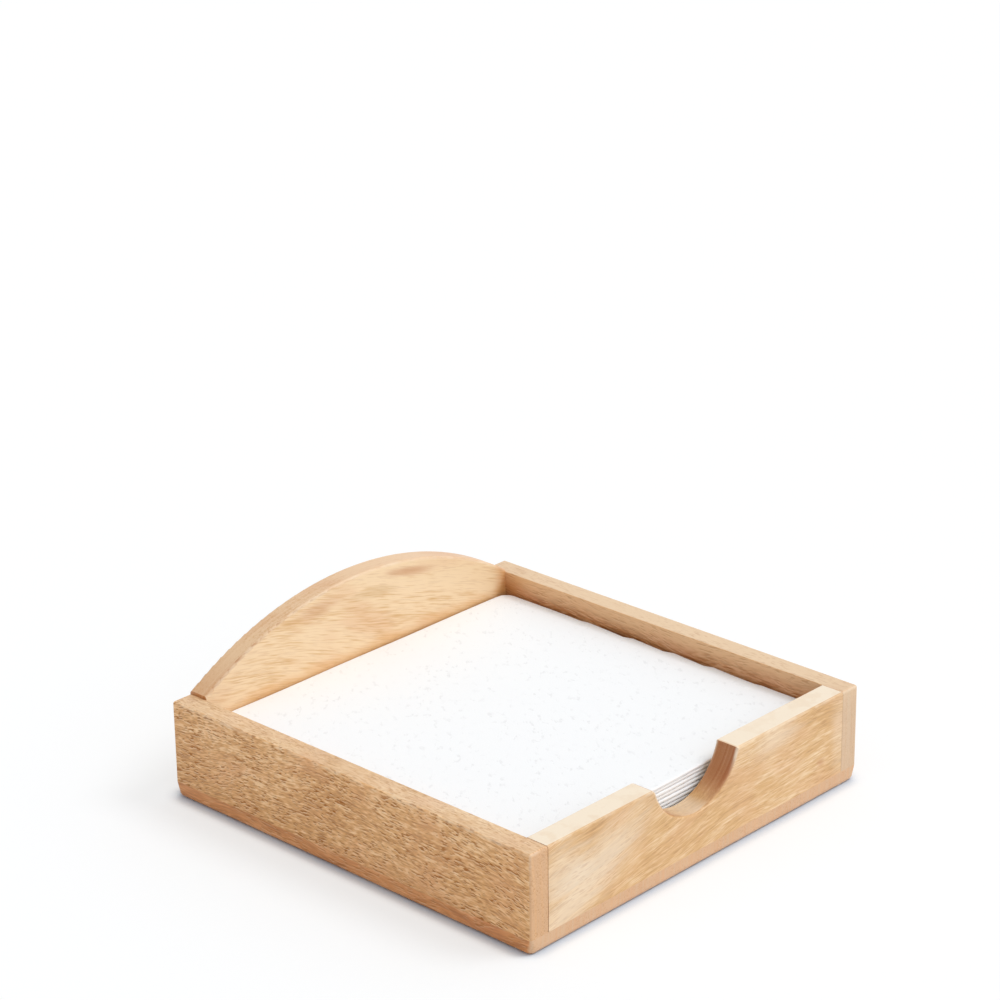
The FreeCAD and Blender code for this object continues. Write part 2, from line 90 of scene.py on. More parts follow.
class NapkinTrayWood(bpy.types.PropertyGroup):
    """Colours and depths of the oiled hardwood."""

    heart: colour("Heartwood", "Darkest streaks between the rings", (0.47, 0.245, 0.085))
    body: colour("Body", "Colour of most of the wood", (0.67, 0.40, 0.165))
    sap: colour("Sapwood", "Palest streaks", (0.86, 0.64, 0.40))
    blush: colour("Blush", "Rosy tint in broad patches", (0.72, 0.41, 0.22))
    left_cut: colour("Left rail ends", "Where the left rail is cut across", (0.63, 0.38, 0.21))
    right_cut: colour("Right rail ends", "Where the right rail is cut across", (0.68, 0.51, 0.34))
    base_cut: colour("Base ends", "Where the base panel is cut across", (0.66, 0.45, 0.28))
    # Painted shade: the notch's walls are darkened to the shade inside the notch, over the cut
    # grain's own colour.
    notch_cut_and_shade: colour("Notch", "Where the notch cuts across the grain", (0.34, 0.075, 0.0))
    arch_cut: colour("Arch", "Where the arch cuts across the grain", (0.52, 0.15, 0.0))
    knot: colour("Knot", "Brown stains near knots", (0.50, 0.20, 0.075))
    resin: colour("Resin", "Faint stain in the arched board", (0.60, 0.38, 0.17))
    # Painted shadow: the right rail's shadow on the right end of the arched board.
    painted_corner_shadow: colour("Russet", "Right end of the arched board", (0.62, 0.27, 0.07))
    # Painted shade: a deeper band along the foot of the arched board, where it meets the napkins.
    painted_crease_shade: colour("Amber", "Band along the foot of the arched board", (0.74, 0.40, 0.15))
    # Painted light: a paler band over the top of the right rail and its upper inner face, lit from
    # above.
    painted_upper_light: colour("Sunned", "Pale strip along the top of the right rail", (1.0, 0.86, 0.55))
    pore: colour("Pores", "Inside of the open pores", (0.35, 0.10, 0.0))
    # Also the colour of the painted highlight on upper arrises and arc rims, and of the painted
    # light on flat tops.
    worn: colour("Worn edges", "Sanded and handled arrises", (0.89, 0.76, 0.59))
    pore_depth: length("Pore depth", "Depth of the open pores", 0.00012)
    edge_width: length("Worn edge width", "How far the wear reaches from an arris", 0.0016)
    roughness: share("Roughness", "Roughness of the oiled surface", 0.44)
    coat: share("Oil", "How much gloss the oil adds between the pores", 0.2)


class NapkinTrayFastenings(bpy.types.PropertyGroup):
    """Colours of the dowels and the screws."""

    beech: colour("Beech", "Colour of the dowels", (0.82, 0.64, 0.44))
    beech_grain: colour("Beech grain", "Darker grain of the dowels", (0.70, 0.50, 0.31))
    zinc: colour("Zinc", "Colour of the screws", (0.70, 0.69, 0.66))
    zinc_dull: colour("Dull zinc", "Duller patches of the screws", (0.56, 0.55, 0.52))


class NapkinTrayPaper(bpy.types.PropertyGroup):
    """Sizes and colours of the paper napkins."""

    sheet_side: length("Sheet side", "Side of one napkin opened out flat", 0.330)
    thickness: length("Paper thickness", "Thickness of the tissue", 0.00026)
    spare: length("Spare height", "Air between one napkin and the next", 0.00006)
    stray: length("Stray", "How far a napkin lies out of line with the stack", 0.0003)
    swell: length("Swell", "Height of the soft waves in the top of the stack", 0.0002)
    tissue: colour("Tissue", "Colour of the paper", (0.925, 0.94, 0.955))
    speck: colour("Specks", "Colour of the pressed specks", (0.82, 0.83, 0.845))
    seed: IntProperty(name="Seed", description="Picks how the napkins lie", default=7, min=0)


class NapkinTrayStudio(bpy.types.PropertyGroup):
    """Floor, light and camera."""

    floor_side: length("Floor side", "Side of the square floor", 24.0)
    floor: colour("Floor", "Colour of the floor where it lights the tray", (0.86, 0.87, 0.88))
    floor_seen: colour("Floor seen", "Colour of the floor to the camera", (0.96, 0.98, 1.0))
    # Painted contact shadow: the floor's colour to the camera where the tray hems it in.
    crease: colour("Crease", "Colour of the floor in the crease by the tray", (0.585, 0.68, 0.80))
    shade_lift: share("Shade lift", "How much of the floor's shade is hidden from the camera", 0.6)
    contact: length("Contact", "How near the tray the shade is not lifted", 0.007)
    sky: share("Sky", "Light from all round", 0.80)
    sky_slope: share("Sky slope", "How much brighter the lamp's side of the sky is", 0.40)
    lamp_strength: FloatProperty(
        name="Lamp strength", description="Light of the soft lamp", default=0.95, min=0.0
    )
    lamp_spread: FloatProperty(
        name="Lamp spread", description="Width of the lamp", default=0.42, subtype="ANGLE"
    )
    lamp_from: FloatVectorProperty(
        name="Lamp from", description="Where the lamp shines from", default=(0.42, -0.42, 0.80),
        subtype="DIRECTION",
    )
    camera_place: FloatVectorProperty(
        name="Camera place",
        description="Where the camera stands",
        default=(-0.822472, -0.771637, 0.573793),
        subtype="XYZ",
        precision=5,
    )
    camera_turn: FloatVectorProperty(
        name="Camera turn",
        description="How the camera is turned",
        default=(1.190035, 0.011476, -0.817166),
        subtype="EULER",
        precision=5,
    )
    lens: FloatProperty(
        name="Lens", description="Focal length", default=114.52, min=1.0, unit="CAMERA"
    )


# ---------------------------------------------------------------------------------------------
# Shader expressions
# ---------------------------------------------------------------------------------------------


class Value:
    """One output of a node. Arithmetic on values adds the Math nodes that work it out."""

    def __init__(self, finish, socket):
        self.finish = finish
        self.socket = socket

    def math(self, operation, *terms):
        return self.finish.add(
            "ShaderNodeMath", {"operation": operation}, dict(enumerate(terms))
        )

    def __add__(self, other):
        return self.math("ADD", self, other)

    def __sub__(self, other):
        return self.math("SUBTRACT", self, other)

    def __rsub__(self, other):
        return self.math("SUBTRACT", other, self)

    def __mul__(self, other):
        return self.math("MULTIPLY", self, other)

    def __truediv__(self, other):
        return self.math("DIVIDE", self, other)

    __radd__ = __add__
    __rmul__ = __mul__

    def least(self, other):
        return self.math("MINIMUM", self, other)

    def most(self, other):
        return self.math("MAXIMUM", self, other)

    def size(self):
        return self.math("ABSOLUTE", self)

    def hypot(self, other):
        """Root of the sum of the squares of this value and the other."""
        return self.math("SQRT", self * self + other * other)

    def ramp(self, low, high):
        """0 below low, 1 above high and a smooth step between; falls where low is above high."""
        ends = {"From Min": low, "From Max": high}
        if low > high:
            ends = {"From Min": high, "From Max": low, "To Min": 1.0, "To Max": 0.0}
        return self.finish.add(
            "ShaderNodeMapRange", {"interpolation_type": "SMOOTHSTEP"}, {"Value": self, **ends}
        )


class Finish:
    """The nodes of one material, or of the world."""

    def __init__(self, owner):
        owner.use_nodes = True
        self.owner = owner
        self.tree = owner.node_tree
        self.tree.nodes.clear()

    def add(self, kind, settings=None, sockets=None, output=0):
        """Makes a node: its settings or colour stops first, then what its sockets take."""
        node = self.tree.nodes.new(kind)
        for name, value in (settings or {}).items():
            if name == "stops":
                while len(node.color_ramp.elements) < len(value):
                    node.color_ramp.elements.new(0.5)
                for stop, (place, tone) in zip(node.color_ramp.elements, value):
                    stop.position = place
                    stop.color = (*tone, 1.0)
            else:
                setattr(node, name, value)
        for name, value in (sockets or {}).items():
            if isinstance(value, Value):
                self.tree.links.new(value.socket, node.inputs[name])
            else:
                node.inputs[name].default_value = value
        return Value(self, node.outputs[output]) if len(node.outputs) else None

    def parts(self, vector, axes=(0, 1, 2)):
        """The coordinates of a vector, each as a value."""
        return [
            self.add("ShaderNodeSeparateXYZ", sockets={0: vector}, output=axis) for axis in axes
        ]

    def place(self):
        """Object coordinates in millimetres, as three values."""
        where = self.add("ShaderNodeTexCoord", output="Object")
        return [part / MM for part in self.parts(where)]

    def noise(self, x, y, z, detail=2.0, roughness=0.5):
        """Cloudy noise from 0 to 1 whose lumps are about one unit across."""
        return self.add(
            "ShaderNodeTexNoise",
            {"noise_dimensions": "3D"},
            {
                "Vector": self.add("ShaderNodeCombineXYZ", sockets={0: x, 1: y, 2: z}),
                "Scale": 1.0,
                "Detail": detail,
                "Roughness": roughness,
            },
        )

    def mix(self, amount, first, second, blend="MIX"):
        """Colour between first, at 0, and second, at 1."""
        first, second = (
            tone if isinstance(tone, Value) else (*tone, 1.0) for tone in (first, second)
        )
        return self.add(
            "ShaderNodeMix",
            {"data_type": "RGBA", "blend_type": blend},
            {0: amount, 6: first, 7: second},
            output=2,
        )

    def bump(self, height, distance):
        return self.add("ShaderNodeBump", sockets={"Distance": distance, "Height": height})

    def surface(self, **sockets):
        """Ends the tree in a Principled shader; socket names have underscores for spaces."""
        shader = self.add(
            "ShaderNodeBsdfPrincipled",
            sockets={name.replace("_", " "): value for name, value in sockets.items()},
        )
        self.add("ShaderNodeOutputMaterial", sockets={"Surface": shader})
        return self.owner


# ---------------------------------------------------------------------------------------------
# Wood
# ---------------------------------------------------------------------------------------------

# Lumps of the noises in the wood, in mm along the grain and across it.
DRIFT = (55, 40)
STREAK = (26, 3.2)
RIPPLE = (5, 0.8)
FIBRE = (9, 0.4)
PORE = (3.8, 0.6)
CLOUD = (42, 20)
ROSY = (30, 16)
CROWD = (16, 6)

# In mm: the rings' spacing, how far a ring holds its tone along and up, where the tree's heart lies
# across and up, how high the drift carries the grain and how far below a pore its lip lies.
RING = 1.3
RING_HOLD = (150, 90)
HEART_ACROSS = -260
HEART_HEIGHT = 20
DRIFT_HEIGHT = 9
LIP = 0.5

# How much the noises change the tone of the wood, the tones of heartwood, body and sapwood, and how
# much of the tone's play is lost where the grain is sawn across and on a flat top.
RING_TONE = 0.3
FIBRE_TONE = 0.4
CLOUD_TONE = 0.4
HEART_TONE, BODY_TONE, SAP_TONE = 0.26, 0.50, 0.74
SAWN_CALM = 0.6
TOP_CALM = 0.4

# Ranges of a noise over which blush, crowds of pores, pores and wear with painted highlight set in.
BLUSHED = (0.45, 0.7)
CROWDED = (0.3, 0.6)
PITTED = (0.53, 0.67)
SCUFFED = (0.35, 0.7)

# How much of their colours the blush, the cut grain, the painted highlight on the lips and the
# pores take, and how much of the pores is lost where the grain is sawn across.
BLUSH_SHARE = 0.4
CUT_SHARE = 0.9
LIP_HIGHLIGHT_SHARE = 0.45
PORE_SHARE = 0.66
SAWN_PORE_LOSS = 0.75

# How far a face turns along the grain to be sawn across it, and upwards to be a flat top.
SAWN_TURN = (0.18, 0.78)
TOP_TURN = (0.93, 0.995)

# How much the noises fray the outline of a patch, and where in it the patch sets in, its own oval
# being 1.
STREAK_FRAY = 1.4
CLOUD_FRAY = 0.8
PATCH_FADE = (1.4, 0.2)

# Distances in mm at which an arc's own surface, the rim beside it and the rim's arris, which takes
# a painted highlight, set in, and how much of the flat top is lost to the arc.
ARC_FADE = (1.2, 0.3)
RIM_FADE = (2.0, 1.0)
RIM_ARRIS_FADE = (1.3, 0.4)
ARC_TOP_LOSS = 0.65

# Heights in mm between which the wear and painted highlight of the arrises and the painted
# highlight of an arc's rim set in, the distance at which an arris is fully worn and lit, and the
# lumps of the wear and the painted light.
WEAR_HEIGHTS = (22, 38)
RIM_HEIGHTS = (29, 38)
ARRIS = 0.2
WEAR_LUMP = 7

# What wood() takes for each board, in mm. Colours are named after their settings.
BOARDS = {
    "left_side_rail": dict(
        name="left_rail_wood", grain="Y", lean=-0.03, bow=-0.0007, seed=3.1, faces="-x -y +y +z",
        paleness=0.02, pores=1.2, ripple=0.9, stretch=0.7, painted_top_light=0.2, cut="left_cut",
        # The side tint paints in the deeper orange of the side's shade, and top the paler flat top.
        tint=(1.14, 1.0, 0.84), top=(1.0, 0.94, 0.86),
    ),
    "right_side_rail": dict(
        name="right_rail_wood", grain="Y", lean=0.02, bow=0.0004, seed=11.7, faces="+x -y +y +z",
        paleness=0.02, pores=0.55, streak=1.7, ripple=1.2, painted_top_light=0.0, cut="right_cut",
        # The side tint is painted shade: it darkens all the rail's sides to the shade of its inner
        # face, and top keeps the flat top lighter.
        tint=(0.79, 0.56, 0.44), top=(0.79, 0.67, 0.66),
        patches=(
            # painted light along the top of the rail and its upper inner face
            (0.0, 41.0, 0.0, 200.0, 6.5, "painted_upper_light", 0.95),
            # painted shade in the rear inner corner above the napkins, in plain body colour
            (82.0, 31.0, 0.0, 9.0, 8.5, "body", 0.9),
        ),
    ),
    "front_board": dict(
        name="front_board_wood", grain="X", lean=0.1, bow=-0.0008, seed=23.9, faces="-y +y +z",
        # The notch's cut colour is painted shade on the notch's walls.
        paleness=0.01, pores=0.3, streak=0.45, ripple=0.3, painted_top_light=1.05, cut="notch_cut_and_shade",
        arc=(-3.2, 46.9, 24.4, 0.0, 0.8),
        patches=(
            (-65.0, 18.0, 0.5, 36.0, 13.0, "worn", 0.6),
            (43.0, 37.0, 0.0, 16.0, 7.0, "worn", 0.45),
            (72.2, 15.5, 0.0, 3.0, 2.2, "knot", 0.5),
            (-77.0, 27.0, 0.0, 13.0, 11.0, "worn", 0.45),
            (84.0, 24.0, 0.0, 6.0, 16.0, "worn", 0.3),
        ),
    ),
    "back_board": dict(
        name="back_board_wood", grain="X", lean=-0.30, bow=-0.0003, seed=37.2, faces="-y +y +z",
        paleness=0.24, pores=0.2, streak=0.4, ripple=0.5, stretch=1.8, painted_top_light=0.1, cut="arch_cut",
        arc=(0.0, -91.1, 158.4, 0.34, 0.4),
        patches=(
            (27.0, 60.3, -0.20, 16.0, 2.4, "knot", 0.6),
            (-24.0, 59.5, 0.0, 11.0, 3.2, "knot", 0.38),
            (8.0, 56.8, -0.10, 13.0, 3.0, "resin", 0.4),
            # painted shadow of the right rail
            (88.0, 34.0, 0.0, 9.0, 14.0, "painted_corner_shadow", 0.95),
            # painted shade where the board meets the napkins
            (0.0, 30.0, 0.0, 300.0, 5.5, "painted_crease_shade", 0.7),
        ),
    ),
    "base_panel": dict(
        name="base_wood", grain="Y", lean=0.0, bow=0.0, seed=51.4, faces="-x +x -y +y",
        pores=0.7, streak=0.9, cut="base_cut", tint=(1.03, 0.72, 0.52),
    ),
}


def open_edge(place, node, faces, off_arc):
    """Distance in mm from a point on a board's surface to its nearest open arris.

    The faces that don't meet another board are named, such as "-y +z", and the distance is the
    second smallest one to them. An arc cut across the board counts as a face on top.
    """
    low, high = ([c / MM for c in corner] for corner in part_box(node))
    gaps = {}
    for face in faces.split():
        axis = "xyz".index(face[1])
        gap = high[axis] - place[axis] if face[0] == "+" else place[axis] - low[axis]
        gaps[axis] = gaps[axis].least(gap) if axis in gaps else gap
    if off_arc:
        gaps[2] = gaps[2].least(off_arc)
    first, second, *third = gaps.values()
    if not third:
        return first.most(second)
    return first.least(second).most(first.most(second).least(third[0]))


def wood(
    look, node, name, grain, lean, bow, seed, faces,
    paleness=0.0, pores=1.0, streak=0.6, ripple=0.4, stretch=1.0, painted_top_light=0.5, cut=None,
    tint=(1.0, 1.0, 1.0), top=(1.0, 1.0, 1.0), arc=None, patches=(),
):
    """Oiled hardwood with open pores, cut from one solid pattern in the board's own millimetres.

    The pattern has a distance along the grain and two across it. The grain leans from the board's
    length by lean, and bends by bow per mm. Streaks, ripples, fibres and pores are noises drawn out
    along the grain by different amounts, and the last three by stretch again. Rings are a noise of
    the distance from the tree's heart, and the lower lip of each pore is painted pale, a painted
    highlight where it would catch the light. Paleness is added to the tone, and pores, streak and
    ripple say how much of each shows. Pores are rougher and deeper than the rest, and places with
    wear, painted highlight or painted top light are smoother.

    Patches are ovals, each given by its centre along the board and up, its slope, its half length,
    its half height, its colour and how much of it; some are painted light or shade. Flat tops are
    painted paler, painted light on them, by the share given after stretch, and tint and top
    multiply the colour of the sides and of the flat top; on the rails the sides' tint is painted
    shade. Ends and arcs cut across the grain take the colour cut, which on the notch's walls is
    darkened further as painted shade. An arc is given by its centre's x and z, its radius, how much
    of the colour cut it takes even along the grain, and how much painted highlight the arrises of
    its rim get.
    """
    finish = Finish(bpy.data.materials.new(name))
    x, y, z = place = finish.place()
    along, across = (x, y) if grain == "X" else (y, x)

    def grained(lump, level, pull=1.0, way=1, detail=1.0, roughness=0.5):
        """Noise with lumps this long and wide, pulled out along the grain, at this level."""
        long, wide = lump
        return finish.noise(
            along / (long * pull) + way * seed, across / wide, level / wide, detail, roughness
        )

    rise = z - along * lean - along * along * bow
    rise = rise + (grained(DRIFT, rise) - 0.5) * DRIFT_HEIGHT
    radius = (across - HEART_ACROSS).hypot(rise - HEART_HEIGHT)
    rings = finish.noise(
        radius / RING, along / RING_HOLD[0] + seed, rise / RING_HOLD[1], detail=3.0, roughness=0.6
    )
    streaks = grained(STREAK, rise, detail=3.0, roughness=0.6)
    ripples = grained(RIPPLE, rise, stretch)
    fibres = grained(FIBRE, rise, stretch, way=-1)
    clouds = grained(CLOUD, rise, way=-1, detail=2.0)
    rosy = grained(ROSY, rise, detail=2.0).ramp(*BLUSHED)
    crowd = grained(CROWD, rise).ramp(*CROWDED)
    pits, lip_highlights = (
        grained(PORE, level, stretch).ramp(*PITTED) * (0.35 + 0.65 * crowd) * pores
        for level in (rise, rise + LIP)
    )

    normal = finish.add("ShaderNodeTexCoord", output="Normal")
    facing, up = finish.parts(normal, (0 if grain == "X" else 1, 2))
    sawn = facing.size().ramp(*SAWN_TURN)
    flat_top = up.ramp(*TOP_TURN)
    off_arc = None
    if arc:
        centre_x, centre_z, arc_radius, arc_share, rim = arc
        off_arc = ((x - centre_x).hypot(z - centre_z) - arc_radius).size()
        on_arc = off_arc.ramp(*ARC_FADE)
        flat_top = flat_top * (1 - on_arc * ARC_TOP_LOSS)
        sawn = sawn.most(on_arc * arc_share)

    tone = (rings - 0.5) * RING_TONE + (streaks - 0.5) * streak + (fibres - 0.5) * FIBRE_TONE
    calm = TOP_CALM * flat_top
    tone = (tone + (ripples - 0.5) * ripple) * (1 - SAWN_CALM * sawn) * (1 - calm)
    tone = tone + (clouds - 0.5) * CLOUD_TONE + (0.5 + paleness)
    timber = finish.add(
        "ShaderNodeValToRGB",
        {"stops": [(HEART_TONE, look.heart), (BODY_TONE, look.body), (SAP_TONE, look.sap)]},
        {"Fac": tone},
    )
    timber = finish.mix(rosy * BLUSH_SHARE, timber, look.blush)
    for middle, height, slope, half_length, half_height, stain, amount in patches:
        off = along - middle
        far = (z - height - off * slope) / half_height
        frayed = (streaks - 0.5) * STREAK_FRAY + (clouds - 0.5) * CLOUD_FRAY
        reach = (off / half_length).hypot(far) + frayed
        timber = finish.mix(reach.ramp(*PATCH_FADE) * amount, timber, getattr(look, stain))
    # On the rails, tint paints the shade of the sides into their colour, and top sets the lighter
    # flat top apart from it.
    timber = finish.mix(1.0, timber, finish.mix(flat_top, tint, top), blend="MULTIPLY")
    # For the front board the cut colour is painted shade on the notch's walls.
    if cut:
        end = finish.mix((rings - 0.5) * 0.9 + 0.15, getattr(look, cut), timber)
        timber = finish.mix(sawn * CUT_SHARE, timber, end)
    shown = (1 - SAWN_PORE_LOSS * sawn) * (1 - calm)
    # Painted highlight on the lower lip of each pore.
    timber = finish.mix(lip_highlights * shown * (1 - pits) * LIP_HIGHLIGHT_SHARE, timber, look.sap)
    timber = finish.mix(pits * shown * PORE_SHARE, timber, look.pore)

    patchy = finish.noise(x / WEAR_LUMP, y / WEAR_LUMP, z / WEAR_LUMP).ramp(*SCUFFED)
    edge = open_edge(place, node, faces, off_arc)
    upper = z.ramp(*WEAR_HEIGHTS)
    # Wear on the upper arrises, partly a painted highlight along them.
    wear_and_highlight = edge.ramp(look.edge_width / MM, ARRIS) * (0.05 + 0.35 * patchy) * upper
    # Flat tops painted paler: painted light on the tops, also on the notch's floor.
    wear_and_highlight = wear_and_highlight.most(flat_top * painted_top_light * (0.8 + 0.4 * patchy))
    # Painted highlight along the arrises of an arc's rim.
    if arc:
        rim_highlight = off_arc.ramp(*RIM_FADE) * edge.ramp(*RIM_ARRIS_FADE) * (0.4 + 0.6 * patchy)
        wear_and_highlight = wear_and_highlight.most(rim_highlight * (z.ramp(*RIM_HEIGHTS) * rim))
    timber = finish.mix(wear_and_highlight, timber, look.worn)

    return finish.surface(
        Base_Color=timber,
        Roughness=look.roughness + (fibres - 0.5) * 0.18 + pits * 0.25 - wear_and_highlight * 0.08,
        Coat_Weight=look.coat * (1 - pits),
        Coat_Roughness=0.3,
        Normal=finish.bump(
            (fibres + ripples) * 0.15 - pits * 0.5 + streaks * 0.1, look.pore_depth
        ),
    )


def dress(node, material):
    """Gives a solid of the frame its finish."""
    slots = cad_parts[node].material_slots
    if not slots:
        raise RuntimeError(f"{node} has no material slot")
    for slot in slots:
        slot.material = material


def dress_boards(look, *nodes):
    """Gives boards their wood."""
    for node in nodes:
        dress(node, wood(look, node, **BOARDS[node]))


# ---------------------------------------------------------------------------------------------
# Fastenings and tissue
# ---------------------------------------------------------------------------------------------

# Lumps of the noises in the dowels, the screws and the tissue, in mm along each axis, and how deep
# their relief is, in metres.
DOWEL_FLECK = (1.2, 4.0, 0.5)
DOWEL_GRAIN = (0.6, 14.0, 0.6)
SCREW_MOTTLE = (0.9, 0.9, 0.9)
SCREW_SCRATCH = (0.5, 0.5, 0.06)
TISSUE_CLOUD = 16
TISSUE_FIBRE = (0.5, 0.8)
TISSUE_SPECK = (5.8, 3.8)
DOWEL_RELIEF = 0.00005
SCREW_RELIEF = 0.00001
TISSUE_RELIEF = 0.00008


def dowel_wood(look, pore):
    """Turned beech: pale, with a fibrous grain and fine dark flecks along the dowel."""
    finish = Finish(bpy.data.materials.new("dowel_beech"))
    place = finish.place()
    fleck = finish.noise(*(part / lump for part, lump in zip(place, DOWEL_FLECK)))
    grain = finish.noise(*(part / lump for part, lump in zip(place, DOWEL_GRAIN)), detail=3.0)
    timber = finish.mix(grain.ramp(0.3, 0.7), look.beech_grain, look.beech)
    timber = finish.mix(fleck.ramp(0.62, 0.7) * 0.5, timber, pore)
    return finish.surface(
        Base_Color=timber,
        Roughness=0.5 + (grain - 0.5) * 0.2,
        Normal=finish.bump(grain, DOWEL_RELIEF),
    )


def screw_steel(look):
    """Zinc-plated steel: bright, faintly mottled, with fine turning scratches."""
    finish = Finish(bpy.data.materials.new("screw_steel"))
    place = finish.place()
    mottle = finish.noise(*(part / lump for part, lump in zip(place, SCREW_MOTTLE)), detail=3.0)
    scratch = finish.noise(*(part / lump for part, lump in zip(place, SCREW_SCRATCH)), detail=1.0)
    return finish.surface(
        Base_Color=finish.mix(mottle.ramp(0.3, 0.75), look.zinc_dull, look.zinc),
        Metallic=1.0,
        Roughness=0.26 + mottle * 0.16 + scratch * 0.08,
        Normal=finish.bump(scratch, SCREW_RELIEF),
    )


def napkin_tissue(look):
    """Soft white tissue: scattered pressed specks, cloudy fibres and a matt surface.

    It follows the sheet's own flat coordinates, in metres, so the specks go round the folds.
    """
    finish = Finish(bpy.data.materials.new("napkin_tissue"))
    flat = finish.add("ShaderNodeUVMap", {"uv_map": "flat"})
    u, v = (part / MM for part in finish.parts(flat, (0, 1)))
    cloud = finish.noise(u / TISSUE_CLOUD, v / TISSUE_CLOUD, 0.0)
    fibre = finish.noise(u / TISSUE_FIBRE[0], v / TISSUE_FIBRE[1], 1.0, roughness=0.6)
    speck = finish.noise((u + v) / TISSUE_SPECK[0], (u - v) / TISSUE_SPECK[1], 2.0, roughness=0.55)
    speck = speck.ramp(0.56, 0.70) * (0.15 + 0.85 * cloud.ramp(0.38, 0.6))
    paper = finish.mix(speck * 0.75, look.tissue, look.speck)
    paper = finish.mix(fibre.ramp(0.55, 0.85) * 0.3, paper, look.speck)
    return finish.surface(
        Base_Color=paper,
        Roughness=0.86 + (fibre - 0.5) * 0.16,
        Specular_IOR_Level=0.25,
        Normal=finish.bump(fibre * 0.4 - speck * 0.6, TISSUE_RELIEF),
    )


# ---------------------------------------------------------------------------------------------
# Surfaces
# ---------------------------------------------------------------------------------------------


def grid_piece(name, points, flat=None):
    """A mesh of four-sided faces over a grid of points, rows by columns by x, y, z in metres."""
    rows, columns = points.shape[:2]
    corner = np.arange(rows * columns).reshape(rows, columns)
    faces = np.stack(
        [corner[:-1, :-1], corner[1:, :-1], corner[1:, 1:], corner[:-1, 1:]], axis=-1
    ).reshape(-1, 4)
    mesh = bpy.data.meshes.new(name)
    mesh.vertices.add(rows * columns)
    mesh.vertices.foreach_set("co", points.astype(np.float32).ravel())
    mesh.loops.add(faces.size)
    mesh.loops.foreach_set("vertex_index", faces.astype(np.int32).ravel())
    mesh.polygons.add(len(faces))
    mesh.polygons.foreach_set("loop_start", np.arange(0, faces.size, 4, dtype=np.int32))
    mesh.update(calc_edges=True)
    mesh.shade_smooth()
    if flat is not None:
        layer = mesh.uv_layers.new(name="flat")
        corners = flat.reshape(-1, 2)[faces.ravel()]
        layer.uv.foreach_set("vector", corners.astype(np.float32).ravel())
    mesh.validate()
    piece = bpy.data.objects.new(name, mesh)
    bpy.context.scene.collection.objects.link(piece)
    return piece


# ---------------------------------------------------------------------------------------------
# Napkins
# ---------------------------------------------------------------------------------------------

# Steps over a folded sheet: along each half, and round the fold.
FIRST_FOLD = (26, 9)
SECOND_FOLD = (60, 13)

# How a folded napkin departs from a neat square, in metres. Places on it are given across and deep,
# which run from -1 to 1 over its side, towards the right and towards the back.
HALF_SIDE = 0.0825
PRESSED = 0.42  # power that presses the half circle of the second fold square
SLANT = 0.0005  # how far the rear edge leans
BOW = 0.0007  # how far the front fold bows
CORNER = 0.0018  # how much the rear right corner is rounded off
CORNER_FROM = 0.95  # where the rounding starts
SCALLOP = 0.0018  # depth of the saw-tooth steps at the right
SCALLOPS = 3.6  # how many of them lie in half the side
SCALLOP_MIDDLE = -0.08  # where along the side they are deepest
SCALLOP_FADE = (1.6, 2)  # their depth there, cut off at 1, and how fast it falls away
SIDE_POWER = 12  # how close to the right edge they stay
EDGE_RIPPLE = 0.00015  # how far the front and rear edges ripple
FAN = 0.0011  # how far the leaves fan out at the back
FAN_POWER = 8  # how close to the back they do
FLUTTER = 0.00003  # height of each napkin's own waves
TWIST = 0.0018  # most that a napkin is turned, in radians
PINCH = (0.10, 0.22)  # least and most share by which the front fold is pressed thinner
SQUASH = 0.02  # share by which the top napkin is flattened


def fold_steps(straight, arc):
    """Steps over a folded strip: two straight runs with closer steps near the fold and the free
    edge, and the fold between them. Gives the share of the run left to the fold, and the angle."""
    share_left = (1 + np.cos(np.linspace(0, np.pi, straight))) / 2
    angle = np.linspace(0, np.pi, arc)
    run = np.concatenate([share_left, np.zeros(arc - 2), share_left[::-1]])
    turn = np.concatenate([np.zeros(straight - 1), angle, np.full(straight - 1, np.pi)])
    return run, turn


def run_length(out, up):
    """Distance along a line from its first point to each one."""
    return np.concatenate([[0], np.cumsum(np.hypot(np.diff(out), np.diff(up)))])


def folded_sheet(look, low, high):
    """A square sheet folded in half towards the right and again towards the front.

    Four leaves lie one leaf apart. The first fold is a half circle of half a leaf's spacing, which
    takes the height above the middle plane from one and a half spacings, the outer leaves, down to
    half a spacing, the inner ones. The second fold turns that height over a half circle pressed
    square, so an outer leaf's fold is wider than an inner one's, and the inner leaves reach further
    back. Gives x, y, the height above the middle plane and the flat coordinates.
    """
    side, paper = look.sheet_side, look.thickness
    spacing = (high.z - low.z - look.spare - paper) / 3
    run_a, turn_a = fold_steps(*FIRST_FOLD)
    run_b, turn_b = fold_steps(*SECOND_FOLD)

    lift = (spacing + spacing / 2 * np.cos(turn_a))[:, None]
    reach_a = (side - np.pi * spacing / 2) / 2
    out_a = (spacing / 2 * np.sin(turn_a) - reach_a * run_a)[:, None]
    reach_b = (side - np.pi * lift) / 2
    out_b = lift * (np.sin(turn_b) ** PRESSED)[None] - reach_b * run_b[None]

    x = high.x - (spacing + paper) / 2 + out_a + 0 * out_b
    y = low.y + 1.5 * spacing + paper / 2 - out_b
    up = -lift * np.cos(turn_b)[None]
    flat_a = run_length(out_a[:, 0], lift[:, 0])
    flat_b = run_length(out_b[0], up[0])
    flat = np.stack(np.broadcast_arrays(flat_a[:, None], flat_b[None]), axis=-1)
    return x, y, up, flat


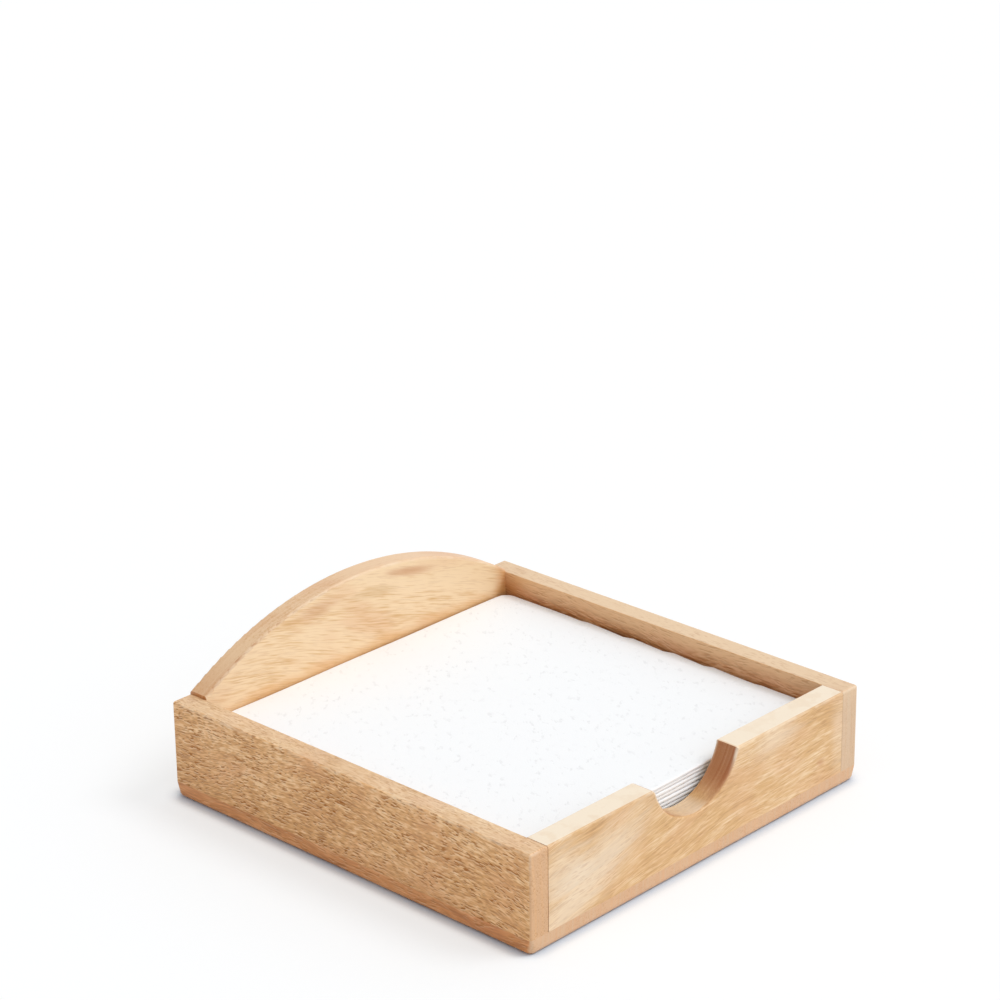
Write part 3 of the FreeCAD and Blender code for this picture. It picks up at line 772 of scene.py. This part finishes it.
def folded_napkin(look, low, high, rng, level):
    """A folded sheet as it lies in the stack, at a level that is 1 at the top.

    The outline strays and turns a little. The rear edge slants and fans out, the front fold bows,
    both of them ripple, the rear right corner is rounded off, and the right edge is scalloped: it
    steps out and back like saw teeth. The leaves swell softly, more so high in the stack, and are
    pinched thin at the front fold, more so towards the right.
    """
    x, y, up, flat = folded_sheet(look, low, high)
    middle_x, middle_y = (low.x + high.x) / 2, (low.y + high.y) / 2
    across, deep = (x - middle_x) / HALF_SIDE, (y - middle_y) / HALF_SIDE

    slant = -SLANT * across * np.clip(deep, 0, None)
    bow = BOW * (1 - across**2) * np.clip(-deep, 0, None)
    corner = np.clip((across - CORNER_FROM) / (1 - CORNER_FROM), 0, 1)
    corner = corner * np.clip((deep - CORNER_FROM) / (1 - CORNER_FROM), 0, 1)
    corner = CORNER * corner**1.5
    stray = rng.uniform(-look.stray, look.stray, 2)
    turn = rng.uniform(-TWIST, TWIST)
    edge_wave = rng.uniform(0, 2 * np.pi, 3)
    phase = SCALLOPS * deep + 0.3 + edge_wave[0] / 60
    scallop = SCALLOP * (phase - np.floor(phase) - 0.75) * np.clip(across, 0, None) ** SIDE_POWER
    deepest, fall = SCALLOP_FADE
    scallop *= np.clip(deepest - fall * np.abs(deep - SCALLOP_MIDDLE), 0, 1)
    ripple = EDGE_RIPPLE * np.sin(7 * across + edge_wave[1]) * deep**3
    fan = FAN * np.clip(deep, 0, 1) ** FAN_POWER
    x_new = x + stray[0] - turn * (y - middle_y) - corner + scallop
    y_new = y + stray[1] + turn * (x - middle_x) + slant - bow + fan - corner + ripple

    swell = look.swell * level * (
        np.sin(2.1 * across + 1.3 * deep + 0.4) * np.cos(1.7 * deep - 0.8 * across) - 0.4
    )
    flutter = FLUTTER * np.sin(5 * across + edge_wave[2]) * np.sin(4 * deep + edge_wave[1])
    pinch = rng.uniform(*PINCH) * np.clip(-8 - 9 * deep, 0, 1)
    pinch = pinch * (0.75 + 0.45 * np.tanh(2.5 * across + 0.1))
    z = (low.z + high.z) / 2 + up * (1 - SQUASH * level - pinch) + swell + flutter
    return np.stack([x_new, y_new, z], axis=-1), flat


# ---------------------------------------------------------------------------------------------
# Operators
# ---------------------------------------------------------------------------------------------


class NAPKIN_TRAY_OT_side_rails(bpy.types.Operator):
    """Finish the two side rails, whose grain runs from front to back"""

    bl_idname = "napkin_tray.side_rails"
    bl_label = "Side Rails"

    def execute(self, context):
        dress_boards(context.scene.napkin_tray_wood, "left_side_rail", "right_side_rail")
        return {"FINISHED"}


class NAPKIN_TRAY_OT_end_boards(bpy.types.Operator):
    """Finish the notched front board and the arched back board, whose grain runs across"""

    bl_idname = "napkin_tray.end_boards"
    bl_label = "End Boards"

    def execute(self, context):
        dress_boards(context.scene.napkin_tray_wood, "front_board", "back_board")
        return {"FINISHED"}


class NAPKIN_TRAY_OT_base_panel(bpy.types.Operator):
    """Finish the base panel"""

    bl_idname = "napkin_tray.base_panel"
    bl_label = "Base Panel"

    def execute(self, context):
        dress_boards(context.scene.napkin_tray_wood, "base_panel")
        return {"FINISHED"}


class NAPKIN_TRAY_OT_fastenings(bpy.types.Operator):
    """Finish the corner dowels and the screws under the base"""

    bl_idname = "napkin_tray.fastenings"
    bl_label = "Dowels and Screws"

    def execute(self, context):
        look = context.scene.napkin_tray_fastenings
        dress("corner_dowels", dowel_wood(look, context.scene.napkin_tray_wood.pore))
        dress("base_screws", screw_steel(look))
        return {"FINISHED"}


class NAPKIN_TRAY_OT_napkins(bpy.types.Operator):
    """Fold the paper napkins and stack them in the tray"""

    bl_idname = "napkin_tray.napkins"
    bl_label = "Napkins"

    def execute(self, context):
        look = context.scene.napkin_tray_paper
        tissue = napkin_tissue(look)
        rng = np.random.default_rng(look.seed)
        for number, node in enumerate(NAPKINS, 1):
            points, flat = folded_napkin(look, *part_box(node), rng, number / len(NAPKINS))
            piece = grid_piece(f"folded_{node}", points, flat)
            piece.data.materials.append(tissue)
            wall = piece.modifiers.new("paper", "SOLIDIFY")
            wall.thickness = look.thickness
            wall.offset = 0.0
            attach(piece, "top_napkin" if number == len(NAPKINS) else "napkin_stack")
            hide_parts(node)
        return {"FINISHED"}


class NAPKIN_TRAY_OT_studio(bpy.types.Operator):
    """Set up the floor, the sky, the soft lamp and the camera"""

    bl_idname = "napkin_tray.studio"
    bl_label = "Studio"

    def execute(self, context):
        look = context.scene.napkin_tray_studio
        self.floor(look)
        self.sky(context.scene, look)
        self.lamp(context.scene, look)
        self.camera(context.scene, look)
        context.scene.view_settings.view_transform = "Standard"
        return {"FINISHED"}

    @staticmethod
    def seen(finish):
        """1 for rays that show the backdrop itself, to the camera or in something glossy."""
        rays = [
            finish.add("ShaderNodeLightPath", output=name)
            for name in ("Is Camera Ray", "Is Glossy Ray", "Is Transmission Ray")
        ]
        return rays[0].most(rays[1]).most(rays[2])

    def floor(self, look):
        """A flat square matt floor, whiter to the camera than where it lights the tray.

        To the camera its shade is lifted towards white, and a painted contact shadow deepens it in
        the crease by the tray.
        """
        line = np.linspace(-look.floor_side / 2, look.floor_side / 2, 9)
        x, y = np.meshgrid(line, line, indexing="ij")
        floor = grid_piece("floor", np.stack([x, y, 0 * x], axis=-1))
        finish = Finish(bpy.data.materials.new("floor_paper"))
        seen = self.seen(finish)
        open_share = finish.add(
            "ShaderNodeAmbientOcclusion", {"samples": 8}, {"Distance": look.contact}, output="AO"
        )
        # Painted contact shadow: the camera sees the crease colour where the floor is shut in near
        # the tray.
        white = finish.mix(open_share.ramp(0.4, 1.0), look.crease, look.floor_seen)
        white = finish.mix(seen, look.floor, white)
        matt = finish.add("ShaderNodeBsdfDiffuse", sockets={"Color": white})
        glow = finish.add("ShaderNodeEmission", sockets={"Color": WHITE})
        lift = seen * open_share.ramp(0.6, 1.0) * look.shade_lift
        both = finish.add("ShaderNodeMixShader", sockets={0: lift, 1: matt, 2: glow})
        finish.add("ShaderNodeOutputMaterial", sockets={"Surface": both})
        floor.data.materials.append(finish.owner)

    def sky(self, scene, look):
        """A white sky, brighter on the lamp's side where it lights the tray."""
        scene.world = bpy.data.worlds.new("studio_sky")
        finish = Finish(scene.world)
        towards = finish.add("ShaderNodeTexCoord", output="Generated")
        across, deep = finish.parts(towards, (0, 1))
        light = look.sky + (across - deep) * (look.sky_slope / math.sqrt(2))
        seen = self.seen(finish)
        strength = seen + light * (1 - seen)
        sky = finish.add("ShaderNodeBackground", sockets={"Color": WHITE, "Strength": strength})
        finish.add("ShaderNodeOutputWorld", sockets={"Surface": sky})

    def lamp(self, scene, look):
        """A lamp far off, as wide as a studio's soft box, so that the floor is lit evenly."""
        data = bpy.data.lights.new("soft_lamp", "SUN")
        data.energy = look.lamp_strength
        data.angle = look.lamp_spread
        lamp = bpy.data.objects.new("soft_lamp", data)
        lamp.rotation_euler = Vector(look.lamp_from).to_track_quat("Z", "Y").to_euler()
        scene.collection.objects.link(lamp)

    def camera(self, scene, look):
        """The camera, with its sensor's width in mm and the range it sees in metres."""
        data = bpy.data.cameras.new("camera")
        data.lens = look.lens
        data.sensor_width = 36.0
        data.clip_start, data.clip_end = 0.05, 50.0
        camera = bpy.data.objects.new("camera", data)
        camera.location = look.camera_place
        camera.rotation_euler = look.camera_turn
        scene.collection.objects.link(camera)
        scene.camera = camera


class NAPKIN_TRAY_PT_panel(bpy.types.Panel):
    """Lists the settings and the pieces of the napkin tray"""

    bl_idname = "NAPKIN_TRAY_PT_panel"
    bl_label = "Napkin Tray"
    bl_space_type = "VIEW_3D"
    bl_region_type = "UI"
    bl_category = "Napkin Tray"

    def draw(self, context):
        for name, group in GROUPS.items():
            box = self.layout.box()
            box.label(text=name.capitalize())
            settings = getattr(context.scene, f"napkin_tray_{name}")
            for setting in group.__annotations__:
                box.prop(settings, setting)
        for operator in OPERATORS:
            self.layout.operator(operator.bl_idname)


# ---------------------------------------------------------------------------------------------
# Registration
# ---------------------------------------------------------------------------------------------

GROUPS = {
    "wood": NapkinTrayWood,
    "fastenings": NapkinTrayFastenings,
    "paper": NapkinTrayPaper,
    "studio": NapkinTrayStudio,
}
OPERATORS = (
    NAPKIN_TRAY_OT_side_rails,
    NAPKIN_TRAY_OT_end_boards,
    NAPKIN_TRAY_OT_base_panel,
    NAPKIN_TRAY_OT_fastenings,
    NAPKIN_TRAY_OT_napkins,
    NAPKIN_TRAY_OT_studio,
)
CLASSES = (*GROUPS.values(), *OPERATORS, NAPKIN_TRAY_PT_panel)


def register():
    for each in CLASSES:
        bpy.utils.register_class(each)
    for name, group in GROUPS.items():
        setattr(bpy.types.Scene, f"napkin_tray_{name}", PointerProperty(type=group))


def unregister():
    for name in GROUPS:
        delattr(bpy.types.Scene, f"napkin_tray_{name}")
    for each in reversed(CLASSES):
        bpy.utils.unregister_class(each)


def main():
    register()
    bpy.ops.napkin_tray.side_rails()
    bpy.ops.napkin_tray.end_boards()
    bpy.ops.napkin_tray.base_panel()
    bpy.ops.napkin_tray.fastenings()
    bpy.ops.napkin_tray.napkins()
    bpy.ops.napkin_tray.studio()


if __name__ == "__main__":
    main()
